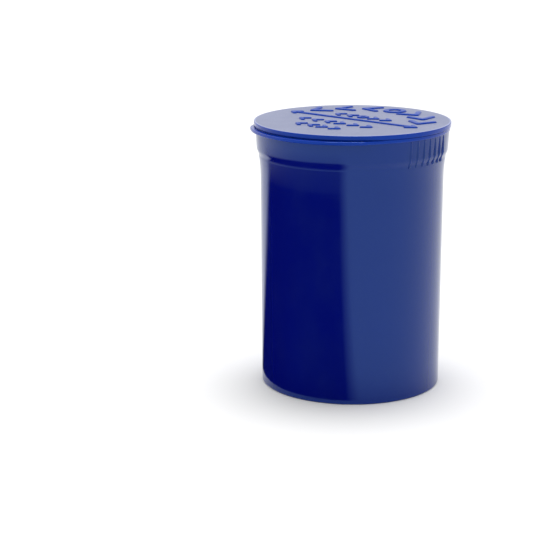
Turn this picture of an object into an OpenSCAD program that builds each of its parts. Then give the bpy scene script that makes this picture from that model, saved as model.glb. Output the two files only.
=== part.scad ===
// Squeeze-top prescription vial with a hinged lid: one moulding, drawn as its moulded features.
// Millimetres. +Z is up and the origin is on the vial's axis, on the plane that it stands on.
// The hinge is at +Y, the pry shield at -Y and the grip ribs at +X and -X. The lid is closed.

/* [Vial body] */
// Height from the standing plane to the lid's top face
total_h = 71.7; // [60:0.1:90]
// Outer radius of the wall at the standing plane
foot_r = 24.15; // [24:0.05:24.4]
// Outer radius of the wall just below its flare
neck_r = 24.5; // [24.4:0.05:24.7]
// Outer radius of the wall where the collar starts
shoulder_r = 24.9; // [24.75:0.05:25]
// Height of the flare below the collar
flare_h = 5.5; // [3:0.5:8]
// Thickness of the wall
wall_t = 1.2; // [1.15:0.05:1.4]
// Thickness of the floor
floor_t = 1.15; // [0.8:0.05:1.5]
// Height of the foot ring below the floor
foot_h = 0.45; // [0.25:0.05:0.5]
// Width of the foot ring
foot_w = 1; // [0.8:0.05:1.2]
// Radius of the bottom edge
foot_round = 0.45; // [0.2:0.05:0.6]
// Radius of the dimple in the floor
dimple_r = 6.8; // [5:0.1:9]
// Depth of the dimple
dimple_h = 1.5; // [0.8:0.1:2]

/* [Collar] */
// Outer radius of the collar above its lower step
collar_r = 25.5; // [25.3:0.05:25.6]
// Outer radius of the collar below the bead
collar_top_r = 25.8; // [25.6:0.05:25.85]
// Distance from the lid's top face down to the collar's lower step
collar_drop = 7.05; // [6.5:0.05:8]
// Height of the lower step, where the collar runs into the wall
step_h = 2.4; // [2:0.1:3.2]
// How much longer the step's lower bend is than its upper one
step_tail = 1.2; // [1:0.1:2]
// Inner radius of the mouth
mouth_r = 23.75; // [23.7:0.05:23.8]
// Chamfer inside the mouth's edge
mouth_chamfer = 0.35; // [0.2:0.05:0.5]
// Outer radius of the bead round the mouth
bead_r = 26; // [25.9:0.05:26.1]
// Gap between the lid's underside and the bead
bead_gap = 0.1; // [0.05:0.01:0.2]

/* [Grip ribs] */
// Ribs on each side
rib_count = 7; // [3:2:9]
// Angle between neighbouring ribs
rib_pitch = 5.2; // [4.5:0.1:6]
// Width of a rib
rib_w = 0.8; // [0.6:0.1:1.2]
// Height of a rib above the collar's lower part
rib_proud = 0.45; // [0.35:0.05:0.6]
// Distance from the bead down to the ribs' upper ends
rib_drop = 0.05; // [0:0.05:0.5]
// Distance from the lid's top face down to the ribs' lower ends
rib_bottom = 9.4; // [8.8:0.1:9.4]

/* [Pry shield] */
// Radius of the shield's curved edge
shield_r = 25.9; // [25.6:0.05:26.2]
// Distance from the vial's axis to the centre of that edge
shield_shift = 2; // [1.5:0.05:2.5]
// Thickness of the shield and of the hinge's lower half
shield_t = 0.85; // [0.7:0.05:1.1]
// Gap between the lid's underside and the shield
shield_gap = 0.2; // [0.15:0.01:0.3]
// Half of the angle over which the shield has its full width
shield_full = 46; // [30:1:50]
// Angle over which each end of the shield tapers away
shield_taper = 12; // [8:1:14]

/* [Lid] */
// Radius of the lid
lid_r = 26.25; // [26:0.05:26.5]
// Thickness of the lid
lid_t = 1.2; // [1:0.05:1.4]
// Radius of the lid's top edge
lid_round = 0.3; // [0.1:0.05:0.4]
// Depth of the sealing ring below the lid
plug_h = 3.6; // [2.5:0.1:3.6]
// Thickness of the sealing ring
plug_t = 1; // [0.8:0.05:1.2]
// Gap between the sealing ring and the mouth
plug_clear = 0.1; // [0.1:0.01:0.15]
// How much narrower the sealing ring is at its lower end
plug_taper = 0.22; // [0.2:0.01:0.3]

/* [Hinge] */
// Distance from the vial's axis to the hinge halves' outer edges
hinge_y = 26.95; // [26.8:0.05:27.2]
// Half of the hinge's width at its outer edge
hinge_half_w = 6.6; // [5:0.1:9]
// How much wider each side of the hinge is where it meets the bead
hinge_flare = 0.64; // [0.3:0.02:1]
// Thickness of the folded web
web_t = 0.35; // [0.2:0.05:0.35]
// Inner radius of the web's fold
fold_r = 0.32; // [0.25:0.01:0.35]

/* [Raised marks] */
// Height of the marks above the lid
mark_h = 0.35; // [0.2:0.05:0.5]
// Stroke of the arrow and of the straight rows
mark_w = 1.15; // [0.9:0.05:1.25]
// Stroke of the curved row
bold_w = 1.6; // [1.2:0.05:1.8]
// Half of the long arrow's length
arrow_half = 20.8; // [17:0.1:22]
// Distance from the axis to the curved row
curve_r = 18.6; // [17:0.1:19]

/* [Hidden] */
$fn = 128;
eps = 0.01;
arc_steps = 6;
step_steps = 12;
flare_steps = 8;

gloss_blue = [0.09, 0.17, 0.56];
frosted_blue = [0.62, 0.64, 0.78];
mark_blue = [0.13, 0.25, 0.68];

// Levels
lid_z = total_h - lid_t;                 // the lid's underside, and the mouth's edge
step_top_z = total_h - collar_drop;
step_z = step_top_z - step_h;            // the collar's lower end
floor_z = foot_h + floor_t;              // the floor's upper face
shield_z = lid_z - shield_gap - shield_t; // the underside of the shield and the bead
flange_z = lid_z - fold_r - shield_t;    // the underside of the hinge's lower half

// Radii
shoulder_in_r = shoulder_r - wall_t;
collar_edge = 0.15;                      // radius of the collar's upper edge
bead_round = 0.15;                       // radius of the bead's edges
rib_edge = 0.35;                         // slant at the ribs' upper ends
rib_lead = 0.6;                          // how far above the collar's step the ribs' own step starts
dimple_ball_r = (dimple_r * dimple_r + dimple_h * dimple_h) / (2 * dimple_h);
dimple_z = foot_h + dimple_h - dimple_ball_r;
web_out_r = fold_r + web_t;

// Straight rows of marks: [y, half of the row's length, count]
mark_rows = [[4.6, 8.2, 5], [-7.2, 11, 6], [-14.4, 6.2, 4]];
row_chevron = 2.3;                       // length of a chevron's strokes in the straight rows
row_ring_r = 1.7;
curve_count = 3;                         // chevrons on each side of the curved row's middle
curve_pitch = 23;                        // degrees between them
curve_chevron = 5;
curve_ring_r = 3.2;
chevron_half = 38;                       // half of the angle between a chevron's strokes

function arc(x, y, r, from, to) =
    [for (i = [0:arc_steps]) let (a = from + (to - from) * i / arc_steps) [x + r * cos(a), y + r * sin(a)]];
function polar(r, a) = [r * cos(a), r * sin(a)];
function flare(z) = pow(max(1 - (step_z - z) / flare_h, 0), 2);
function wall_r(z) = foot_r + (neck_r - foot_r) * z / step_z + (shoulder_r - neck_r) * flare(z);

// The wall's outline from the floor up to the collar, moved in
function wall_line(inset) =
    [for (z = concat([floor_z], [for (i = [0:flare_steps]) step_z - flare_h * (1 - i / flare_steps)]))
        [wall_r(z) - inset, z]];

function ease(u) = pow((1 - cos(180 * u)) / 2, step_tail);
function collar_face_r(z) =
    collar_r + (collar_top_r - collar_r) * (z - step_top_z) / (shield_z - step_top_z);

// The collar's outline from its lower end up to the end of its step, moved out and up
function step_line(out, up) =
    [for (i = [0:step_steps]) let (u = i / step_steps)
        [shoulder_r + out + (collar_r - shoulder_r) * ease(u), step_z + up + step_h * u]];

// The part of a rising outline that lies above a level
function above(line, z) = [for (p = line) if (p[1] > z) p];
function reversed(line) = [for (i = [len(line) - 1:-1:0]) line[i]];

module side_wall() {
    color(gloss_blue)
        rotate_extrude()
            polygon(concat(wall_line(0), reversed(wall_line(wall_t))));
}

module foot_profile() {
    in_r = foot_r - foot_w;
    polygon(concat([[0, foot_h], [in_r, foot_h], [in_r, 0]],
                   arc(foot_r - foot_round, foot_round, foot_round, -90, 0),
                   [[wall_r(floor_z), floor_z], [0, floor_z]]));
}

module base() {
    color(gloss_blue)
        difference() {
            union() {
                rotate_extrude() foot_profile();
                intersection() {
                    translate([0, 0, dimple_z]) sphere(r = dimple_ball_r + floor_t);
                    translate([0, 0, foot_h + eps]) cylinder(r = dimple_r + floor_t, h = dimple_h + 2 * floor_t);
                }
            }
            translate([0, 0, dimple_z]) sphere(r = dimple_ball_r);
        }
}

module collar() {
    color(gloss_blue)
        rotate_extrude()
            polygon(concat(step_line(0, 0), [[collar_top_r, shield_z]],
                           arc(collar_top_r - collar_edge, lid_z - collar_edge, collar_edge, 0, 90),
                           [[mouth_r + mouth_chamfer, lid_z], [mouth_r, lid_z - mouth_chamfer],
                            [shoulder_in_r, step_z]]));
}

// The bead that the lid lies on, with the shield and the hinge as its outward extensions
module mouth_bead() {
    color(gloss_blue)
        rotate_extrude()
            polygon(concat([[collar_top_r, shield_z]],
                           arc(bead_r - bead_round, shield_z + bead_round, bead_round, -90, 0),
                           arc(bead_r - bead_round, lid_z - bead_gap - bead_round, bead_round, 0, 90),
                           [[collar_top_r, lid_z - bead_gap]]));
}

// One rib, on the +X side: it follows the collar and its step, and ends in a small foot on the wall
module rib() {
    foot_z = total_h - rib_bottom;
    head_z = shield_z - rib_drop;
    inner = above(step_line(0, 0), foot_z);
    outer = above(step_line(rib_proud, rib_lead), foot_z);
    u = (foot_z - step_z) / step_h;
    foot_in_r = shoulder_r + (collar_r - shoulder_r) * ease(u);
    intersection() {
        rotate_extrude()
            polygon(concat([[foot_in_r, foot_z], [shoulder_r + rib_proud, foot_z]], outer,
                           [[collar_r + rib_proud, head_z - rib_edge], [collar_face_r(head_z), head_z]],
                           reversed(inner)));
        translate([0, -rib_w / 2, 0]) cube([lid_r, rib_w, total_h]);
    }
}

module grip_ribs(side) {
    color(gloss_blue)
        for (i = [0:rib_count - 1])
            rotate([0, 0, side + (i - (rib_count - 1) / 2) * rib_pitch]) rib();
}

module left_grip_ribs() grip_ribs(180);
module right_grip_ribs() grip_ribs(0);

module pry_shield() {
    tip = shield_full + shield_taper;
    edge_r = shield_r + shield_shift * cos(shield_full);
    far_r = 2 * shield_r;
    color(gloss_blue)
        translate([0, 0, shield_z]) linear_extrude(shield_t)
            difference() {
                intersection() {
                    translate([0, -shield_shift]) circle(r = shield_r);
                    rotate(-90)
                        polygon([[0, 0], polar(bead_r, -tip), polar(edge_r, -shield_full),
                                 polar(far_r, -shield_full / 2), polar(far_r, shield_full / 2),
                                 polar(edge_r, shield_full), polar(bead_r, tip)]);
                }
                circle(r = bead_r);
            }
}

module hinge_outline() {
    wide = hinge_half_w + hinge_flare;
    inner_y = sqrt(bead_r * bead_r - wide * wide) - eps;
    polygon([[-wide, inner_y], [-hinge_half_w, hinge_y], [hinge_half_w, hinge_y], [wide, inner_y]]);
}

module body_hinge_flange() {
    color(gloss_blue)
        translate([0, 0, flange_z]) linear_extrude(shield_t)
            difference() {
                hinge_outline();
                circle(r = bead_r);
            }
}

// The web folded in half, as it lies when the lid is closed
module living_hinge() {
    color(gloss_blue)
        translate([-hinge_half_w, hinge_y, lid_z]) rotate([90, 0, 90])
            linear_extrude(2 * hinge_half_w)
                difference() {
                    circle(r = web_out_r);
                    circle(r = fold_r);
                    translate([-2 * web_out_r, -web_out_r]) square(2 * web_out_r);
                }
}

module lid_solid() {
    rotate_extrude()
        polygon(concat([[0, lid_z], [lid_r, lid_z]],
                       arc(lid_r - lid_round, total_h - lid_round, lid_round, 0, 90),
                       [[0, total_h]]));
}

module lid_plate() {
    color(frosted_blue) lid_solid();
}

module lid_seal_ring() {
    out_r = mouth_r - plug_clear;
    low_z = lid_z - plug_h;
    color(gloss_blue)
        rotate_extrude()
            polygon([[out_r - plug_t, lid_z], [out_r - plug_t - plug_taper, low_z],
                     [out_r - plug_taper, low_z], [out_r, lid_z - plug_h / 4], [out_r, lid_z]]);
}

module lid_hinge_flange() {
    color(gloss_blue)
        difference() {
            translate([0, 0, lid_z + fold_r]) linear_extrude(web_t) hinge_outline();
            lid_solid();
        }
}

// A bar with round ends, from the origin along +X
module bar(length, width) {
    translate([0, -width / 2]) square([length, width]);
    circle(d = width);
    translate([length, 0]) circle(d = width);
}

// Two bars that meet at the origin and point along +X
module chevron(length, width) {
    for (side = [-1, 1])
        rotate(180 + side * chevron_half) bar(length, width);
}

module ring(radius, width) {
    difference() {
        circle(r = radius);
        circle(r = radius - width);
    }
}

module raised() {
    color(mark_blue) translate([0, 0, total_h]) linear_extrude(mark_h) children();
}

module lid_arrow() {
    raised() {
        translate([-arrow_half, 0]) bar(2 * arrow_half, mark_w);
        for (turn = [0, 180])
            rotate(turn) translate([arrow_half, 0]) chevron(curve_chevron / 2, mark_w);
    }
}

// The curved row: a ring in the middle, and chevrons that point round to the nearer grip
module curved_row() {
    translate([0, curve_r]) ring(curve_ring_r, bold_w);
    for (side = [-1, 1])
        for (i = [1:curve_count])
            rotate(90 - side * i * curve_pitch) translate([curve_r, 0]) rotate(-side * 90)
                translate([curve_chevron / 3, 0]) chevron(curve_chevron, bold_w);
}

// A straight row: chevrons that point to the nearer grip, and a ring in the middle if there's room
module straight_row(y, half, count) {
    for (i = [0:count - 1]) {
        x = half * (2 * i / (count - 1) - 1);
        translate([x, y])
            if (abs(x) < eps)
                ring(row_ring_r, mark_w);
            else
                rotate(x < 0 ? 180 : 0) translate([row_chevron / 3, 0]) chevron(row_chevron, mark_w);
    }
}

module lid_marks() {
    raised() {
        curved_row();
        for (row = mark_rows) straight_row(row[0], row[1], row[2]);
    }
}

side_wall();
base();
collar();
mouth_bead();
left_grip_ribs();
right_grip_ribs();
pry_shield();
body_hinge_flange();
living_hinge();
lid_plate();
lid_seal_ring();
lid_hinge_flange();
lid_arrow();
lid_marks();
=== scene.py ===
"""Looks of a squeeze-top prescription vial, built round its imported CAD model. Metres, +Z up.

Every CAD node is stood for by a finer piece of the same size: the cup and the lid are turned from
filleted outlines, the ribs, the pry lip and the hinge are lofted, and the raised marks are rounded.
"""

import math

import bmesh
import bpy
from mathutils import Matrix, Vector


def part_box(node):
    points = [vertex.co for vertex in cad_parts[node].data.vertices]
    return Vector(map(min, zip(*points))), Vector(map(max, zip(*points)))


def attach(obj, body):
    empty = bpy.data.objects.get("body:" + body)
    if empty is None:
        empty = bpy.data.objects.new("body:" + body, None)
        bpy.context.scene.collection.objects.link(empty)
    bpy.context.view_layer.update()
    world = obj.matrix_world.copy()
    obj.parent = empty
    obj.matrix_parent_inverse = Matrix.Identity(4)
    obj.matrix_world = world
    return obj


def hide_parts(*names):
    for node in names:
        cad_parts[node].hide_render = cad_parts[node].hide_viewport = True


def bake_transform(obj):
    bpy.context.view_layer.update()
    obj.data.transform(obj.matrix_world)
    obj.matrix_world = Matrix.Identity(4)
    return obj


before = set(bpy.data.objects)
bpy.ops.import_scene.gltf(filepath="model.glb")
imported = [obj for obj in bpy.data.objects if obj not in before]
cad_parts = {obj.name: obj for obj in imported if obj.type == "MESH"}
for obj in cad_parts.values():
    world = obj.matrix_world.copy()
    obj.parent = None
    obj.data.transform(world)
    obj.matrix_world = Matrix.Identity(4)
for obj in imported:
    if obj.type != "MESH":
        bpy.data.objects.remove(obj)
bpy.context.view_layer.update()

MM = 0.001
BODY, LID = "vial", "lid"

# ---- Sizes from the frame ----
LID_LOW, LID_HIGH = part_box("lid_plate")
LID_R, LID_Z, TOP_Z = LID_HIGH.x, LID_LOW.z, LID_HIGH.z
MARK_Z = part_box("lid_marks")[1].z
COLLAR_LOW, COLLAR_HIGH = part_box("collar")
COLLAR_TOP_R, STEP_Z = COLLAR_HIGH.x, COLLAR_LOW.z
WALL_LOW, WALL_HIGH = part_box("side_wall")
SHOULDER_R, FLOOR_Z = WALL_HIGH.x, WALL_LOW.z
BASE_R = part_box("base")[1].x
BEAD_LOW, BEAD_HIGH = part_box("mouth_bead")
BEAD_R = BEAD_HIGH.x
RIB_LOW, RIB_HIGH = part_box("right_grip_ribs")
SHIELD_LOW, SHIELD_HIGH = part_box("pry_shield")
SEAL_LOW, SEAL_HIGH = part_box("lid_seal_ring")
WEB_LOW, WEB_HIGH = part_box("living_hinge")
FLANGE_LOW, FLANGE_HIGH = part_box("body_hinge_flange")
LID_FLANGE_LOW, LID_FLANGE_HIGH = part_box("lid_hinge_flange")
ARROW_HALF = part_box("lid_arrow")[1].x

# ---- Sizes that the frame's boxes don't give ----
WALL_T = 1.2 * MM
FOOT_H = 0.45 * MM
FOOT_W = 1.0 * MM
FOOT_ROUND = 0.45 * MM
FLOOR_FILLET = 1.1 * MM
DIMPLE_R = 6.8 * MM
DIMPLE_H = 1.5 * MM
GATE_R = 0.62 * MM
GATE_H = 0.14 * MM
COLLAR_R = 25.5 * MM          # above the step. It widens to COLLAR_TOP_R under the bead
STEP_H = 2.4 * MM
STEP_TAIL = 1.2
NECK_R = 24.5 * MM            # below the flare that ends at SHOULDER_R
FLARE_H = 5.5 * MM
MOUTH_GAP = 0.1 * MM
MOUTH_CHAMFER = 0.35 * MM
SEAL_T = 1.0 * MM
SEAL_TAPER = 0.22 * MM
LID_ROUND = 0.3 * MM
SMALL_ROUND = 0.2 * MM
RIB_COUNT = 7
RIB_PITCH = math.radians(5.2)
RIB_W = 0.8 * MM
RIB_LEAD = 0.6 * MM
SHIELD_SHIFT = 2 * MM
SHIELD_FULL = math.radians(46)
SHIELD_TIP = math.radians(58)
HINGE_FLARE = 0.64 * MM
WEB_T = 0.35 * MM
SINK = 0.06 * MM              # how far a piece's hidden side reaches into its neighbour

# ---- Raised marks ----
MARK_W = 1.15 * MM
BOLD_W = 1.6 * MM
MARK_ROUND = 0.33 * MM
CHEVRON_HALF = math.radians(38)
MARK_ROWS = ((4.6, 8.2, 5), (-7.2, 11, 6), (-14.4, 6.2, 4))   # y, half of the length, count
ROW_CHEVRON = 2.3 * MM
ROW_RING_R = 1.7 * MM
CURVE_R = 18.6 * MM
CURVE_COUNT = 3
CURVE_PITCH = math.radians(23)
CURVE_CHEVRON = 5 * MM
CURVE_RING_R = 3.2 * MM

# ---- Mesh steps ----
TURN_STEPS = 256
RING_STEPS = 48
ARC_STEPS = 6
EASE_STEPS = 16
DISH_STEPS = 24
GATE_STEPS = 8
RIB_ALONG, RIB_ACROSS = 40, 14
SHIELD_STEPS = 120
TAB_STEPS = 12
WEB_TURN_STEPS, WEB_WIDE_STEPS = 24, 16
FLAG_STEPS = 48
SHARP = math.radians(32)

# ---- View ----
CAMERA_HEADING = math.radians(41.5)
CAMERA_DOWN = math.radians(14.08)
CAMERA_ROLL = math.radians(-0.17)
CAMERA_ASIDE = 22.95 * MM
CAMERA_BACK = 443.84 * MM
CAMERA_HEIGHT = 142.81 * MM
CAMERA_LENS = 113.73

# ---- Light and stage ----
SKY_FRONT, SKY_BACK = 0.88, 1.06      # strength behind the camera, and ahead of it
KEY_HEADING = CAMERA_HEADING + math.radians(78)
KEY_REACH = 0.36
KEY_HEIGHT = 2.5
KEY_SIZE = 1.1
KEY_POWER = 30
FLOOR_R = 3
FLOOR_NEAR, FLOOR_FAR = (0.84, 0.84, 0.84), (0.98, 0.98, 0.98)
FLAG_LOW_R, FLAG_HIGH_R = 27 * MM, 43 * MM
FLAG_HEIGHT = 62 * MM
FLAG_FROM = CAMERA_HEADING - math.pi / 2 - math.radians(7)      # clockwise from the camera's side
FLAG_TO = FLAG_FROM - math.radians(106)
FLAG_LEAN = math.radians(11)          # how far its upper edge is turned back
FLAG_SOFT = 0.16                      # share of its half-width, and of its height, that thins out


# ---- Outlines: lists of 2-D points ----
def polar(radius, angle):
    return Vector((radius * math.cos(angle), radius * math.sin(angle)))


def arc(centre, radius, start, end, steps=ARC_STEPS):
    return [centre + polar(radius, start + (end - start) * i / steps) for i in range(steps + 1)]


def filleted(corners):
    """A closed outline through the corners (x, y, fillet radius), with a short lead before each arc."""
    outline = []
    for i, (x, y, radius) in enumerate(corners):
        here = Vector((x, y))
        if radius == 0:
            outline.append(here)
            continue
        back = (Vector(corners[i - 1][:2]) - here).normalized()
        ahead = (Vector(corners[(i + 1) % len(corners)][:2]) - here).normalized()
        half = back.angle(ahead) / 2
        reach = radius / math.tan(half)
        centre = here + (back + ahead).normalized() * radius / math.sin(half)
        first = here + back * reach - centre
        last = here + ahead * reach - centre
        start = math.atan2(first.y, first.x)
        turn = (math.atan2(last.y, last.x) - start + math.pi) % (2 * math.pi) - math.pi
        lead = 0.15 * radius
        outline.append(here + back * (reach + lead))
        outline += arc(centre, radius, start, start + turn)
        outline.append(here + ahead * (reach + lead))
    return outline


def ease(u):
    return (1 - math.cos(math.pi * u)) / 2


def wall_r(z):
    """The cup's outer radius at a height below the collar, with the flare at its upper end."""
    flare = max(1 - (STEP_Z - z) / FLARE_H, 0) ** 2
    return BASE_R + (NECK_R - BASE_R) * (z - FLOOR_Z) / (STEP_Z - FLOOR_Z) + (SHOULDER_R - NECK_R) * flare


def step_r(z):
    """The outer radius up the collar's lower step."""
    return SHOULDER_R + (COLLAR_R - SHOULDER_R) * ease(min(max((z - STEP_Z) / STEP_H, 0), 1)) ** STEP_TAIL


def collar_r(z):
    """The collar's outer radius at a height, its lower step included."""
    step_top = STEP_Z + STEP_H
    draft = (z - step_top) / (BEAD_LOW.z - step_top)
    return step_r(z) + (COLLAR_TOP_R - COLLAR_R) * min(max(draft, 0), 1)


# ---- Meshes ----
def piece(name, mesh, materials, paint=None):
    """An object from a bmesh: smooth, sharp at its corners, with faces painted by paint(centre, normal)."""
    bmesh.ops.remove_doubles(mesh, verts=mesh.verts, dist=1e-7)
    bmesh.ops.recalc_face_normals(mesh, faces=mesh.faces)
    for face in mesh.faces:
        face.smooth = True
        if paint:
            face.material_index = paint(face.calc_center_median(), face.normal)
    for edge in mesh.edges:
        edge.smooth = len(edge.link_faces) == 2 and edge.calc_face_angle() < SHARP
    data = bpy.data.meshes.new(name)
    mesh.to_mesh(data)
    mesh.free()
    for material in materials:
        data.materials.append(material)
    obj = bpy.data.objects.new(name, data)
    bpy.context.scene.collection.objects.link(obj)
    return obj


def add_loft(mesh, loops, closed=False):
    """Skins between loops of equally many 3-D points. The first and last loop are capped, or joined."""
    rings = [[mesh.verts.new(p) for p in loop] for loop in loops]
    pairs = list(zip(rings, rings[1:]))
    if closed:
        pairs.append((rings[-1], rings[0]))
    for near, far in pairs:
        for i in range(len(near)):
            j = (i + 1) % len(near)
            mesh.faces.new((near[i], near[j], far[j], far[i]))
    if not closed:
        mesh.faces.new(rings[0])
        mesh.faces.new(rings[-1])


def add_turned(mesh, outline, centre=(0, 0), steps=TURN_STEPS):
    """A closed outline of (radius, z) turned about a vertical axis."""
    rings = []
    for i in range(steps):
        angle = 2 * math.pi * i / steps
        c, s = math.cos(angle), math.sin(angle)
        rings.append([(centre[0] + r * c, centre[1] + r * s, z) for r, z in outline])
    add_loft(mesh, rings, closed=True)
    bmesh.ops.remove_doubles(mesh, verts=mesh.verts, dist=1e-7)
    bmesh.ops.dissolve_degenerate(mesh, dist=1e-8, edges=mesh.edges)


def turned(name, outline, materials, paint=None):
    mesh = bmesh.new()
    add_turned(mesh, outline)
    return piece(name, mesh, materials, paint)


def stand_in(obj, body, slot, *nodes):
    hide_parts(*nodes)
    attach(obj, body)
    return obj


# ---- Materials. A noise's scale is in waves per metre. ----
DEEP, LIGHT = (0.0002, 0.0015, 0.12), (0.0008, 0.004, 0.15)      # the pigment's drift
GLOSS_TINT = (0.3, 0.6, 1, 1)


def new_shader(name, **values):
    """A material's node tree and its Principled shader, with the given sockets set."""
    material = bpy.data.materials.new(name)
    material.use_nodes = True
    tree = material.node_tree
    shader = tree.nodes["Principled BSDF"]
    for socket, value in values.items():
        shader.inputs[socket.replace("_", " ")].default_value = value
    return material, tree, shader


def object_noise(tree, scale, stretch=(1, 1, 1), detail=3.0, roughness=0.5):
    """Noise in the piece's own space."""
    place = tree.nodes.new("ShaderNodeTexCoord")
    mapping = tree.nodes.new("ShaderNodeMapping")
    mapping.inputs["Scale"].default_value = stretch
    noise = tree.nodes.new("ShaderNodeTexNoise")
    noise.inputs["Scale"].default_value = scale
    noise.inputs["Detail"].default_value = detail
    noise.inputs["Roughness"].default_value = roughness
    tree.links.new(place.outputs["Object"], mapping.inputs["Vector"])
    tree.links.new(mapping.outputs["Vector"], noise.inputs["Vector"])
    return noise.outputs["Fac"]


def spread(tree, value, low, high, to_low, to_high):
    node = tree.nodes.new("ShaderNodeMapRange")
    tree.links.new(value, node.inputs["Value"])
    for socket, number in (("From Min", low), ("From Max", high), ("To Min", to_low), ("To Max", to_high)):
        node.inputs[socket].default_value = number
    return node.outputs["Result"]


def total(tree, first, second, operation="ADD"):
    node = tree.nodes.new("ShaderNodeMath")
    node.operation = operation
    tree.links.new(first, node.inputs[0])
    tree.links.new(second, node.inputs[1])
    return node.outputs["Value"]


def tint(tree, share, first, second):
    """A colour from first to second by share. Each is a colour or a socket."""
    node = tree.nodes.new("ShaderNodeMix")
    node.data_type = "RGBA"
    tree.links.new(share, node.inputs["Factor"])
    for socket, colour in ((node.inputs[6], first), (node.inputs[7], second)):
        if isinstance(colour, tuple):
            socket.default_value = (*colour, 1)
        else:
            tree.links.new(colour, socket)
    return node.outputs[2]


def relief(tree, height, depth, strength, below=None):
    node = tree.nodes.new("ShaderNodeBump")
    node.inputs["Strength"].default_value = strength
    node.inputs["Distance"].default_value = depth
    tree.links.new(height, node.inputs["Height"])
    if below:
        tree.links.new(below, node.inputs["Normal"])
    return node.outputs["Normal"]


def height_share(tree, z_zero, z_one):
    """0 at one height of the piece and 1 at the other."""
    place = tree.nodes.new("ShaderNodeTexCoord")
    split = tree.nodes.new("ShaderNodeSeparateXYZ")
    tree.links.new(place.outputs["Object"], split.inputs["Vector"])
    return spread(tree, split.outputs["Z"], z_zero, z_one, 0, 1)


def radius_share(tree, r_zero, r_one):
    """0 at one distance from the vial's axis and 1 at the other."""
    place = tree.nodes.new("ShaderNodeTexCoord")
    flat = tree.nodes.new("ShaderNodeVectorMath")
    flat.operation = "MULTIPLY"
    flat.inputs[1].default_value = (1, 1, 0)
    tree.links.new(place.outputs["Object"], flat.inputs[0])
    length = tree.nodes.new("ShaderNodeVectorMath")
    length.operation = "LENGTH"
    tree.links.new(flat.outputs["Vector"], length.inputs[0])
    return spread(tree, length.outputs["Value"], r_zero, r_one, 0, 1)


def moulded(name, deep, light, rough, gloss=0.85, edge=None, edge_zero=0, edge_one=1):
    """Polished polypropylene: pigment drift, a faint moulding wave, handling smears and fine scratches."""
    material, tree, shader = new_shader(name, Specular_IOR_Level=gloss, Specular_Tint=GLOSS_TINT)
    colour = tint(tree, object_noise(tree, 70, (1, 1, 0.3)), deep, light)
    # edge: a colour the piece goes to towards edge_one; the foot uses it for a painted highlight of its rim.
    if edge:
        colour = tint(tree, height_share(tree, edge_zero, edge_one), colour, edge)
    tree.links.new(colour, shader.inputs["Base Color"])
    smears = spread(tree, object_noise(tree, 110, (1, 1, 0.5), 5, 0.62), 0.42, 0.7, rough, rough + 0.09)
    lines = spread(tree, object_noise(tree, 1, (60, 60, 2600), 2), 0.66, 0.76, 0, 0.1)
    tree.links.new(total(tree, smears, lines), shader.inputs["Roughness"])
    wave = relief(tree, object_noise(tree, 170, (1, 1, 0.6), 2), 0.05 * MM, 0.12)
    tree.links.new(relief(tree, lines, 0.004 * MM, 0.25, wave), shader.inputs["Normal"])
    return material


def textured(name, deep, light, rough, grain, gloss=0.5, sheen=0.0, edge_highlight=None, edge_highlight_r=0):
    """Spark-eroded texture: a fine grain in colour, roughness and relief, and a painted highlight at the
    edge.
    """
    material, tree, shader = new_shader(name, Specular_IOR_Level=gloss, Sheen_Weight=sheen,
                                        Sheen_Roughness=0.45)
    bloom = spread(tree, object_noise(tree, 55, detail=4), 0.3, 0.7, 0, 0.6)
    speck = spread(tree, object_noise(tree, 2600, detail=2), 0.35, 0.65, 0, 0.4)
    colour = tint(tree, total(tree, bloom, speck), deep, light)
    # Paler in a thin ring just inside the rounded edge: a painted highlight of the edge catching light.
    if edge_highlight:
        colour = tint(tree, radius_share(tree, edge_highlight_r - 0.35 * MM, edge_highlight_r), colour, edge_highlight)
    tree.links.new(colour, shader.inputs["Base Color"])
    patches = spread(tree, object_noise(tree, 90, detail=4), 0.3, 0.7, rough - 0.05, rough + 0.05)
    tree.links.new(patches, shader.inputs["Roughness"])
    coarse = relief(tree, object_noise(tree, 1500, detail=3), grain, 0.35)
    fine = relief(tree, object_noise(tree, 5200, detail=2), grain / 2, 0.4, coarse)
    tree.links.new(fine, shader.inputs["Normal"])
    return material


GLOSS = moulded("cobalt_gloss", DEEP, LIGHT, 0.09)
# The foot goes lighter towards its lower edge: a painted highlight of the foot ring's rim.
FOOT = moulded("cobalt_gloss_foot", DEEP, LIGHT, 0.11, edge=(0.0006, 0.008, 0.16), edge_zero=1.1 * MM,
               edge_one=0.25 * MM)
RIM = moulded("cobalt_gloss_thin", (0.001, 0.02, 0.25), (0.003, 0.032, 0.32), 0.12, gloss=0.4)
MARKS = moulded("cobalt_gloss_marks", (0.001, 0.032, 0.29), (0.003, 0.046, 0.36), 0.35, gloss=0.15)
SATIN = textured("cobalt_satin", (0.006, 0.012, 0.105), (0.009, 0.018, 0.135), 0.42, 0.01 * MM)
# The pale ring at the lid top's outer edge is a painted highlight of the rounded edge catching light.
FROST = textured("cobalt_frost", (0.12, 0.142, 0.27), (0.165, 0.19, 0.33), 0.5, 0.02 * MM, 0.42, 0.2,
                 edge_highlight=(0.27, 0.31, 0.50), edge_highlight_r=LID_R - LID_ROUND)


# ---- Cup ----
def make_wall():
    levels = [FLOOR_Z] + [STEP_Z - FLARE_H * (1 - i / EASE_STEPS) for i in range(EASE_STEPS + 1)]
    outside = [Vector((wall_r(z), z)) for z in levels]
    outline = outside + [p - Vector((WALL_T, 0)) for p in outside[::-1]]
    stand_in(turned("cup_wall", outline, [GLOSS]), BODY, "gloss_blue", "side_wall")


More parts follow.
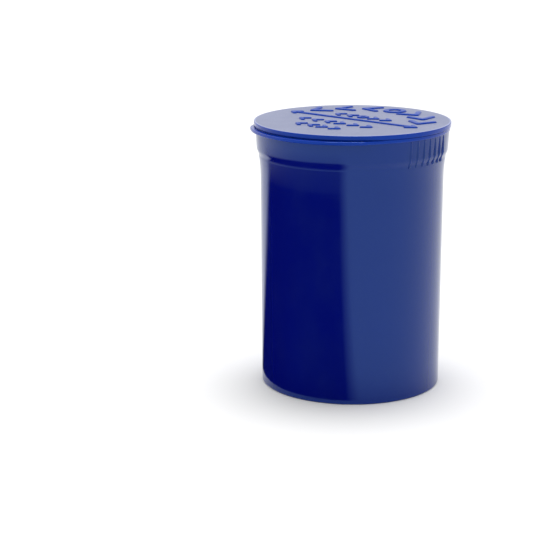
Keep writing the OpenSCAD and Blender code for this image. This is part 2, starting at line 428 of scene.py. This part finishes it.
def make_base():
    """The floor: foot ring, flat recess, polished dimple with the gate's ring, and a fillet inside."""
    ball_r = (DIMPLE_R ** 2 + DIMPLE_H ** 2) / (2 * DIMPLE_H)
    ball_z = FOOT_H + DIMPLE_H - ball_r
    dome_r = ball_r + FLOOR_Z - FOOT_H
    inside = wall_r(FLOOR_Z) - WALL_T
    ring_in = BASE_R - FOOT_W

    def dimple_z(r):
        return ball_z + math.sqrt(ball_r ** 2 - r ** 2)

    gate = [Vector((0, dimple_z(0)))]
    for i in range(GATE_STEPS + 1):
        r = GATE_R * (0.7 + 0.6 * i / GATE_STEPS)
        gate.append(Vector((r, dimple_z(r) - GATE_H * math.sin(math.pi * i / GATE_STEPS))))
    dimple = [Vector((r, dimple_z(r))) for r in
              (GATE_R * 1.4 + (DIMPLE_R - GATE_R * 1.4) * i / DISH_STEPS for i in range(DISH_STEPS + 1))]
    foot = filleted([(DIMPLE_R + SMALL_ROUND, FOOT_H, 0), (ring_in, FOOT_H, 0.12 * MM),
                     (ring_in, 0, 0.1 * MM), (wall_r(0), 0, FOOT_ROUND),
                     (wall_r(FLOOR_Z), FLOOR_Z, 0)])
    reach = FLOOR_FILLET
    corner = arc(Vector((inside - reach, FLOOR_Z + reach)), reach, 0, -math.pi / 2)
    dome_edge = math.sqrt(dome_r ** 2 - (FLOOR_Z - ball_z) ** 2)
    dome = [Vector((r, ball_z + math.sqrt(dome_r ** 2 - r ** 2))) for r in
            (dome_edge * (1 - i / DISH_STEPS) for i in range(DISH_STEPS + 1))]
    outline = gate + dimple + foot + [Vector((inside, FLOOR_Z))] + corner + dome

    def paint(centre, normal):
        r = math.hypot(centre.x, centre.y)
        if DIMPLE_R < r < ring_in and centre.z < FLOOR_Z - SINK and normal.z < 0:
            return 1
        return 2 if r > ring_in - SMALL_ROUND and centre.z < FLOOR_Z + SINK else 0

    stand_in(turned("cup_base", outline, [GLOSS, SATIN, FOOT], paint), BODY, "satin_blue", "base")


def make_collar():
    mouth = SEAL_HIGH.x + MOUTH_GAP
    levels = [STEP_Z + STEP_H * i / EASE_STEPS for i in range(EASE_STEPS + 1)]
    step = [Vector((collar_r(z), z)) for z in levels]
    rim = filleted([(COLLAR_TOP_R, BEAD_LOW.z, 0), (COLLAR_TOP_R, LID_Z, 0.15 * MM),
                    (mouth + MOUTH_CHAMFER, LID_Z, 0.15 * MM), (mouth, LID_Z - MOUTH_CHAMFER, 0.25 * MM),
                    (SHOULDER_R - WALL_T, STEP_Z, 0)])
    stand_in(turned("cup_collar", step + rim, [GLOSS]), BODY, "gloss_blue", "collar")


def make_bead():
    """The bead that the lid lies on."""
    inner = COLLAR_TOP_R - 4 * SINK
    outline = filleted([(inner, BEAD_LOW.z, 0), (BEAD_R, BEAD_LOW.z, 0.3 * MM),
                        (BEAD_R, BEAD_HIGH.z, 0.12 * MM), (inner, BEAD_HIGH.z, 0)])
    stand_in(turned("cup_bead", outline, [RIM]), BODY, "gloss_blue", "mouth_bead")


def add_rib(mesh, angle):
    """One grip rib: it follows the collar and its step, with a narrow crest, soft flanks and round ends."""
    proud = RIB_HIGH.x - COLLAR_R
    end = 0.5 * MM
    tops, roots = [], []
    for i in range(RIB_ALONG + 1):
        z = RIB_LOW.z + (RIB_HIGH.z - RIB_LOW.z) * ease(i / RIB_ALONG)
        room = min(z - RIB_LOW.z, RIB_HIGH.z - z, end) / end
        taper = math.sqrt(max(1 - (1 - room) ** 2, 0))
        ground = collar_r(z)
        height = max(step_r(z - RIB_LEAD) + proud - ground, 0) * taper
        tops.append([])
        roots.append([])
        for j in range(RIB_ACROSS + 1):
            t = math.sin(math.pi * (j / RIB_ACROSS - 0.5))
            back = (1 - t * t) ** 1.2
            side = angle + t * RIB_W / 2 / ground * (0.55 + 0.45 * taper)
            r = ground - SINK / 2 + (height + SINK / 2) * back * (taper > 0)
            tops[-1].append((r * math.cos(side), r * math.sin(side), z))
            r = ground - 3 * SINK
            roots[-1].append((r * math.cos(side), r * math.sin(side), z))
    loops = [top + root[::-1] for top, root in zip(tops, roots)]
    add_loft(mesh, loops)


def make_ribs(name, side, node):
    mesh = bmesh.new()
    for i in range(RIB_COUNT):
        add_rib(mesh, side + (i - (RIB_COUNT - 1) / 2) * RIB_PITCH)
    stand_in(piece(name, mesh, [GLOSS]), BODY, "gloss_blue", node)


def shield_edge(angle):
    """The pry lip's outer radius: an eccentric arc that runs into the bead at each end."""
    radius = -SHIELD_LOW.y - SHIELD_SHIFT
    bow = SHIELD_SHIFT * math.cos(angle) + math.sqrt(radius ** 2 - (SHIELD_SHIFT * math.sin(angle)) ** 2)
    full = polar(radius + SHIELD_SHIFT * math.cos(SHIELD_FULL), SHIELD_FULL)
    tip = polar(BEAD_R, SHIELD_TIP)
    across = Vector((tip.y - full.y, full.x - tip.x)).normalized()
    facing = across.dot(polar(1, abs(angle)))
    line = across.dot(tip) / facing if facing > 0.05 else 2 * radius
    soft = 0.4 * MM
    gap = max(soft - abs(bow - line), 0)
    return min(bow, line) - gap ** 2 / (4 * soft)


def make_shield():
    loops = []
    for i in range(SHIELD_STEPS + 1):
        angle = SHIELD_TIP * 1.01 * (2 * i / SHIELD_STEPS - 1)
        outer, inner = shield_edge(angle), BEAD_R - 5 * SINK
        radius = min(0.3 * MM, (outer - inner) * 0.45)
        section = filleted([(inner, SHIELD_LOW.z, 0), (outer, SHIELD_LOW.z, radius),
                            (outer, SHIELD_HIGH.z, radius), (inner, SHIELD_HIGH.z, 0)])
        turn = angle - math.pi / 2
        loops.append([(r * math.cos(turn), r * math.sin(turn), z) for r, z in section])
    mesh = bmesh.new()
    add_loft(mesh, loops)
    stand_in(piece("pry_lip", mesh, [RIM]), BODY, "gloss_blue", "pry_shield")


def hinge_half(name, low_z, high_z, edge_y, body, node):
    """A hinge half: a tab that widens towards its root, with round edges."""
    half = WEB_HIGH.x
    root_y = math.sqrt(BEAD_R ** 2 - (half + HINGE_FLARE) ** 2)
    radius = min(0.2 * MM, (high_z - low_z) * 0.4)
    root_half = half + HINGE_FLARE
    loops = []
    for i in range(TAB_STEPS + 1):
        y = root_y + (edge_y - radius - root_y) * i / TAB_STEPS
        wide = root_half + (half - root_half) * (y - root_y) / (edge_y - root_y)
        loops.append((y, wide, 0))
    for i in range(1, ARC_STEPS + 1):
        turn = math.pi / 2 * i / ARC_STEPS
        loops.append((edge_y - radius + radius * math.sin(turn), half, radius * (1 - math.cos(turn)) * 0.9))
    mesh = bmesh.new()
    rings = []
    for y, wide, inset in loops:
        x, low, high = wide - inset, low_z + inset, high_z - inset
        r = max(radius - inset, 0.02 * MM)
        ring = filleted([(-x, low, r), (x, low, r), (x, high, r), (-x, high, r)])
        rings.append([(p.x, y, p.y) for p in ring])
    add_loft(mesh, rings)
    return stand_in(piece(name, mesh, [RIM]), body, "gloss_blue", node)


def make_web():
    """The web, a half-circle loop between the cup's half and the lid's half of the hinge."""
    centre_y, centre_z = WEB_LOW.y, (WEB_LOW.z + WEB_HIGH.z) / 2
    outer = (WEB_HIGH.z - WEB_LOW.z) / 2
    inner = outer - WEB_T
    turns = [math.pi * (i / WEB_TURN_STEPS - 0.5) for i in range(WEB_TURN_STEPS + 1)]
    root = 0.25 * MM
    outside = [(centre_y - root, centre_z - outer)] + [
        (centre_y + outer * math.cos(a), centre_z + outer * math.sin(a)) for a in turns] + [
        (centre_y - root, centre_z + outer)]
    inside = [(centre_y - root, centre_z - inner)] + [
        (centre_y + inner * math.cos(a), centre_z + inner * math.sin(a)) for a in turns] + [
        (centre_y - root, centre_z + inner)]
    loop = outside + inside[::-1]
    places = [WEB_HIGH.x * (2 * i / WEB_WIDE_STEPS - 1) for i in range(WEB_WIDE_STEPS + 1)]
    mesh = bmesh.new()
    add_loft(mesh, [[(x, y, z) for y, z in loop] for x in places])
    obj = piece("hinge_web", mesh, [RIM])
    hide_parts("living_hinge")
    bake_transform(obj)


# ---- Lid ----
def make_lid():
    """The lid's disc: frosted top, polished rim, and a plain underside with the gate's nub."""
    nub_r, nub_h = 0.9 * MM, 0.25 * MM
    outline = filleted([(0, LID_Z - nub_h, 0), (nub_r, LID_Z - nub_h, 0.15 * MM),
                        (nub_r * 1.3, LID_Z, 0.1 * MM), (LID_R, LID_Z, 0.15 * MM),
                        (LID_R, TOP_Z, LID_ROUND), (0, TOP_Z, 0)])

    def paint(centre, normal):
        r = math.hypot(centre.x, centre.y)
        if normal.z > 0.9 and centre.z > TOP_Z - SINK:
            return 1
        return 0 if r > SEAL_HIGH.x else 2

    stand_in(turned("lid_disc", outline, [RIM, FROST, GLOSS], paint), LID, "frosted_blue", "lid_plate")


def make_seal():
    outer, low = SEAL_HIGH.x, SEAL_LOW.z
    outline = filleted([(outer - SEAL_T, LID_Z + SINK, 0), (outer - SEAL_T - SEAL_TAPER, low, 0.25 * MM),
                        (outer - SEAL_TAPER, low, 0.35 * MM), (outer, LID_Z - (LID_Z - low) / 4, 0.5 * MM),
                        (outer, LID_Z + SINK, 0)])
    stand_in(turned("lid_seal", outline, [GLOSS]), LID, "gloss_blue", "lid_seal_ring")


def chevron(length, width):
    """Half-width in, closed outline out: two strokes that meet at the origin and point along +X."""
    def outline(half):
        lower, upper = math.pi + CHEVRON_HALF, math.pi - CHEVRON_HALF
        quarter = math.pi / 2
        return ([Vector((-half / math.sin(CHEVRON_HALF), 0))]
                + arc(polar(length, lower), half, lower - quarter, lower + quarter)
                + arc(Vector((0, 0)), half, lower + quarter - 2 * math.pi, upper - quarter)
                + arc(polar(length, upper), half, upper - quarter, upper + quarter))
    return outline, width / 2


def double_arrow(reach, head, width):
    """Half-width in, closed outline out: a bar along X with an open arrowhead at each end."""
    def outline(half):
        lower, upper = math.pi + CHEVRON_HALF, math.pi - CHEVRON_HALF
        quarter = math.pi / 2
        tip = Vector((reach, 0))
        crotch = reach - half * (math.sin(CHEVRON_HALF)
                                 + (1 + math.cos(CHEVRON_HALF)) / math.tan(CHEVRON_HALF))
        one_end = ([Vector((crotch, -half))]
                   + arc(tip + polar(head, lower), half, lower - quarter, lower + quarter)
                   + arc(tip, half, lower + quarter - 2 * math.pi, upper - quarter)
                   + arc(tip + polar(head, upper), half, upper - quarter, upper + quarter)
                   + [Vector((crotch, half))])
        return one_end + [-p for p in one_end]
    return outline, width / 2


def add_raised(mesh, shape, place=Matrix.Identity(3)):
    """A shape raised from the lid, with its upper edges rounded."""
    outline, half = shape
    levels = [(0, TOP_Z - SINK)]
    for i in range(ARC_STEPS + 1):
        turn = math.pi / 2 * i / ARC_STEPS
        levels.append((MARK_ROUND * (1 - math.cos(turn)), MARK_Z - MARK_ROUND * (1 - math.sin(turn))))
    loops = []
    for inset, z in levels:
        flat = [place @ Vector((p.x, p.y, 1)) for p in outline(half - inset)]
        loops.append([(p.x, p.y, z) for p in flat])
    add_loft(mesh, loops)


def add_raised_ring(mesh, centre, radius, width):
    section = filleted([(radius - width, TOP_Z - SINK, 0), (radius, TOP_Z - SINK, 0),
                        (radius, MARK_Z, MARK_ROUND), (radius - width, MARK_Z, MARK_ROUND)])
    add_turned(mesh, section, centre, RING_STEPS)


def placed(x, y, angle):
    """A move in the lid's plane: turn by angle, then shift."""
    turn = Matrix.Rotation(angle, 3, "Z")
    turn[0][2], turn[1][2] = x, y
    return turn


def make_arrow():
    mesh = bmesh.new()
    head = CURVE_CHEVRON / 2
    reach = ARROW_HALF - MARK_W / 2
    add_raised(mesh, double_arrow(reach, head, MARK_W))
    stand_in(piece("lid_squeeze_arrow", mesh, [MARKS]), LID, "mark_blue", "lid_arrow")


def add_curved_row(mesh):
    """A ring opposite the pry lip, and chevrons that point round to the nearer grip."""
    add_raised_ring(mesh, (0, CURVE_R), CURVE_RING_R, BOLD_W)
    for side in (-1, 1):
        for i in range(1, CURVE_COUNT + 1):
            angle = math.pi / 2 - side * i * CURVE_PITCH
            heading = angle - side * math.pi / 2
            spot = polar(CURVE_R, angle) + polar(CURVE_CHEVRON / 3, heading)
            add_raised(mesh, chevron(CURVE_CHEVRON, BOLD_W), placed(spot.x, spot.y, heading))


def add_straight_row(mesh, y, half, count):
    """Chevrons that point to the nearer grip, and a ring in the middle if the count is odd."""
    for i in range(count):
        x = half * (2 * i / (count - 1) - 1)
        if abs(x) < SINK:
            add_raised_ring(mesh, (0, y), ROW_RING_R, MARK_W)
            continue
        side = math.copysign(1, x)
        add_raised(mesh, chevron(ROW_CHEVRON, MARK_W),
                   placed(x + side * ROW_CHEVRON / 3, y, 0 if x > 0 else math.pi))


def make_marks():
    mesh = bmesh.new()
    add_curved_row(mesh)
    for y, half, count in MARK_ROWS:
        add_straight_row(mesh, y * MM, half * MM, count)
    stand_in(piece("lid_raised_marks", mesh, [MARKS]), LID, "mark_blue", "lid_marks")


# ---- Stage ----
def make_floor():
    mesh = bmesh.new()
    bmesh.ops.create_circle(mesh, cap_ends=True, segments=96, radius=FLOOR_R)
    material, tree, shader = new_shader("floor_paper", Roughness=0.9, Specular_IOR_Level=0.1)
    far = radius_share(tree, FLOOR_R / 6, FLOOR_R / 2)
    tree.links.new(tint(tree, far, FLOOR_NEAR, FLOOR_FAR), shader.inputs["Base Color"])
    floor = piece("floor", mesh, [material])


def polar_place(heading, reach, height):
    """A place at a heading anticlockwise from +X, out from the axis and up from the floor."""
    return (reach * math.cos(heading), reach * math.sin(heading), height)


def make_flag():
    """A dark curved net beside the vial, thinner towards its edges. Only its mirror image shows."""
    mesh = bmesh.new()
    layout = mesh.loops.layers.uv.new("layout")
    rows = []
    for z, reach, start, end in ((SMALL_ROUND, FLAG_LOW_R, FLAG_FROM + FLAG_LEAN, FLAG_TO),
                                 (FLAG_HEIGHT, FLAG_HIGH_R, FLAG_FROM, FLAG_TO + FLAG_LEAN)):
        angles = [start + (end - start) * i / FLAG_STEPS for i in range(FLAG_STEPS + 1)]
        rows.append([mesh.verts.new(polar_place(a, reach, z)) for a in angles])
    for i in range(FLAG_STEPS):
        face = mesh.faces.new((rows[0][i], rows[0][i + 1], rows[1][i + 1], rows[1][i]))
        for loop, across, up in zip(face.loops, (i, i + 1, i + 1, i), (0, 0, 1, 1)):
            loop[layout].uv = (2 * across / FLAG_STEPS - 1, up)
    material, tree, shader = new_shader("flag_net", Base_Color=(0.001, 0.003, 0.03, 1), Roughness=0.9,
                                        Specular_IOR_Level=0.1)
    place = tree.nodes.new("ShaderNodeTexCoord")
    split = tree.nodes.new("ShaderNodeSeparateXYZ")
    side = tree.nodes.new("ShaderNodeMath")
    side.operation = "ABSOLUTE"
    tree.links.new(place.outputs["UV"], split.inputs["Vector"])
    tree.links.new(split.outputs["X"], side.inputs[0])
    cover = total(tree, spread(tree, side.outputs["Value"], 1, 1 - FLAG_SOFT, 0, 1),
                  spread(tree, split.outputs["Y"], 1, 1 - FLAG_SOFT, 0, 1), "MULTIPLY")
    tree.links.new(cover, shader.inputs["Alpha"])
    flag = piece("flag", mesh, [material])
    flag.visible_camera = flag.visible_diffuse = flag.visible_shadow = flag.visible_transmission = False


def add_light(name, place, size, power):
    data = bpy.data.lights.new(name, "AREA")
    data.shape = "DISK"
    data.size = size
    data.energy = power
    light = bpy.data.objects.new(name, data)
    light.location = place
    light.rotation_euler = (-Vector(place)).to_track_quat("-Z", "Y").to_euler()
    bpy.context.scene.collection.objects.link(light)


def make_lights():
    world = bpy.data.worlds.new("studio")
    world.use_nodes = True
    tree = world.node_tree
    place = tree.nodes.new("ShaderNodeTexCoord")
    along = tree.nodes.new("ShaderNodeVectorMath")
    along.operation = "DOT_PRODUCT"
    along.inputs[1].default_value = polar_place(CAMERA_HEADING + math.pi / 2, 1, 0)
    tree.links.new(place.outputs["Generated"], along.inputs[0])
    strength = spread(tree, along.outputs["Value"], -1, 1, SKY_FRONT, SKY_BACK)
    tree.links.new(strength, tree.nodes["Background"].inputs["Strength"])
    tree.nodes["Background"].inputs["Color"].default_value = (1, 1, 1, 1)
    bpy.context.scene.world = world
    add_light("key", polar_place(KEY_HEADING, KEY_REACH, KEY_HEIGHT), KEY_SIZE, KEY_POWER)


def make_camera():
    data = bpy.data.cameras.new("camera")
    data.lens = CAMERA_LENS
    camera = bpy.data.objects.new("camera", data)
    heading = Matrix.Rotation(CAMERA_HEADING, 3, "Z")
    tilt = Matrix.Rotation(math.pi / 2 - CAMERA_DOWN, 3, "X")
    roll = Matrix.Rotation(CAMERA_ROLL, 3, "Z")
    place = heading @ Vector((-CAMERA_ASIDE, -CAMERA_BACK, CAMERA_HEIGHT))
    camera.matrix_world = Matrix.Translation(place) @ (heading @ tilt @ roll).to_4x4()
    bpy.context.scene.collection.objects.link(camera)
    bpy.context.scene.camera = camera
    bpy.context.scene.view_settings.view_transform = "Standard"


make_wall()
make_base()
make_collar()
make_bead()
make_ribs("left_ribs", math.pi, "left_grip_ribs")
make_ribs("right_ribs", 0, "right_grip_ribs")
make_shield()
hinge_half("cup_hinge_half", FLANGE_LOW.z, FLANGE_HIGH.z, FLANGE_HIGH.y, BODY, "body_hinge_flange")
make_web()
make_lid()
make_seal()
hinge_half("lid_hinge_half", LID_FLANGE_LOW.z, LID_FLANGE_HIGH.z, LID_FLANGE_HIGH.y, LID, "lid_hinge_flange")
make_arrow()
make_marks()
make_floor()
make_flag()
make_lights()
make_camera()
